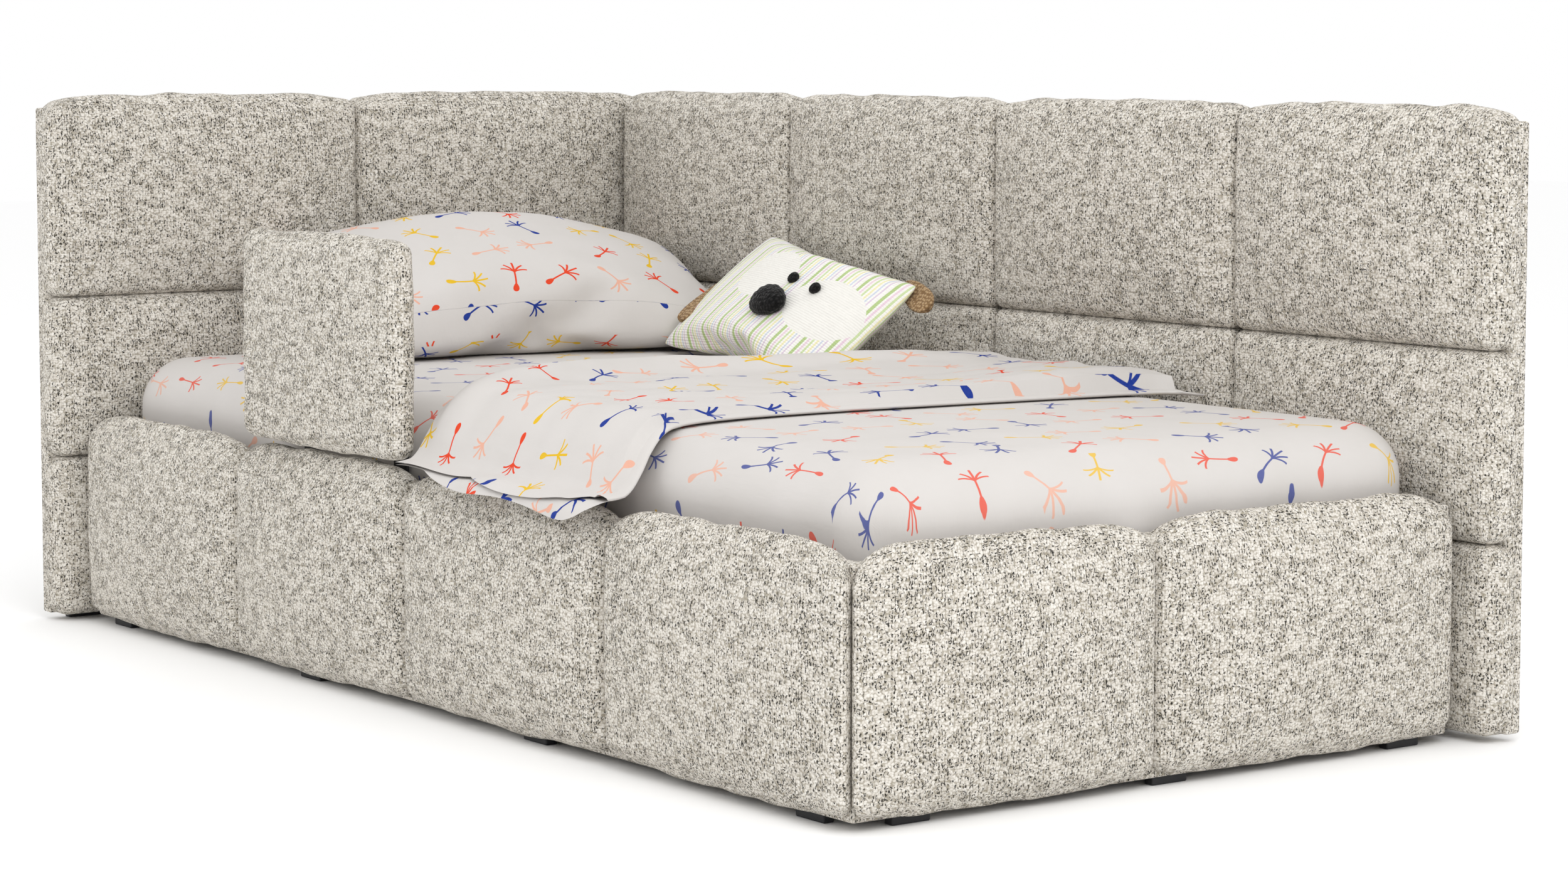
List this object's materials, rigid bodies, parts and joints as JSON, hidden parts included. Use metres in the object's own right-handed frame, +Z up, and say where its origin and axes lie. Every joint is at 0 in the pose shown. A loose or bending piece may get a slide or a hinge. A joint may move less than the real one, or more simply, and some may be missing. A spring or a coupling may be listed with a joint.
{
  "type": "toddler bed",
  "caption": "Low upholstered corner bed with tall padded headboard and long back panel, padded rails, a lift-off padded guard, mattress, pillow, blanket and a soft animal cushion.",
  "frame": {"origin": "on the floor under the middle of the bed's outline", "axes": "+X from the headboard to the foot rail, +Y from the open front to the back panel, +Z up"},
  "size_m": [1.86, 0.978, 0.728],
  "materials": {
    "boucle": "matte",
    "board": "matte",
    "timber": "matte",
    "slat_birch": "satin",
    "webbing": "matte",
    "zinc_steel": "satin",
    "black_steel": "satin",
    "black_plastic": "matte",
    "mattress_ticking": "matte",
    "printed_cotton": "matte",
    "pillow_cotton": "matte",
    "blanket_cotton": "matte",
    "striped_cotton": "matte",
    "tan_knit": "matte",
    "black_knit": "matte"
  },
  "bodies": {
    "frame": {"back_cleat": "timber", "back_frame_rail": "board", "back_pad_1_bottom": "boucle", "back_pad_1_middle": "boucle", "back_pad_1_top": "boucle", "back_pad_2_bottom": "boucle", "back_pad_2_middle": "boucle", "back_pad_2_top": "boucle", "back_pad_3_bottom": "boucle", "back_pad_3_middle": "boucle", "back_pad_3_top": "boucle", "back_pad_4_bottom": "boucle", "back_pad_4_middle": "boucle", "back_pad_4_top": "boucle", "back_panel_board": "board", "back_panel_rear_cover": "boucle", "beam_hangers": "zinc_steel", "centre_beam": "timber", "centre_legs": "timber", "corner_angles": "zinc_steel", "foot_rail_board": "board", "foot_rail_pad_1": "boucle", "foot_rail_pad_2": "boucle", "front_cleat": "timber", "front_rail_board": "board", "front_rail_pad_1": "boucle", "front_rail_pad_2": "boucle", "front_rail_pad_3": "boucle", "front_rail_pad_4": "boucle", "glide_feet": "black_plastic", "guard_socket_left": "black_steel", "guard_socket_right": "black_steel", "head_frame_rail": "board", "headboard_board": "board", "headboard_pad_1_bottom": "boucle", "headboard_pad_1_middle": "boucle", "headboard_pad_1_top": "boucle", "headboard_pad_2_bottom": "boucle", "headboard_pad_2_middle": "boucle", "headboard_pad_2_top": "boucle", "headboard_rear_cover": "boucle", "panel_bolts": "zinc_steel", "slat_webbing": "webbing", "slats": "slat_birch"},
    "guard": {"guard_pad": "boucle", "guard_board": "board", "guard_bracket_left": "black_steel", "guard_bracket_right": "black_steel", "guard_bolts": "zinc_steel"},
    "mattress": {"mattress": "mattress_ticking", "fitted_sheet": "printed_cotton"},
    "pillow": {"pillow": "pillow_cotton"},
    "cushion": {"face_cushion": "striped_cotton", "cushion_ears": "tan_knit", "cushion_nose": "black_knit"},
    "blanket": {"blanket": "blanket_cotton"}
  },
  "joints": [
    {"name": "guard_lift", "type": "slide", "parent": "frame", "child": "guard", "axis": [0, 0, 1], "range_m": [0, 0.3]},
    {"name": "mattress_lift", "type": "slide", "parent": "frame", "child": "mattress", "axis": [0, 0, 1], "range_m": [0, 0.55]},
    {"name": "pillow_lift", "type": "slide", "parent": "mattress", "child": "pillow", "axis": [0, 0, 1], "range_m": [0, 0.38]},
    {"name": "cushion_lift", "type": "slide", "parent": "mattress", "child": "cushion", "axis": [0, 0, 1], "range_m": [0, 0.38]},
    {"name": "blanket_lift", "type": "slide", "parent": "mattress", "child": "blanket", "axis": [0, 0, 1], "range_m": [0, 0.48]}
  ]
}
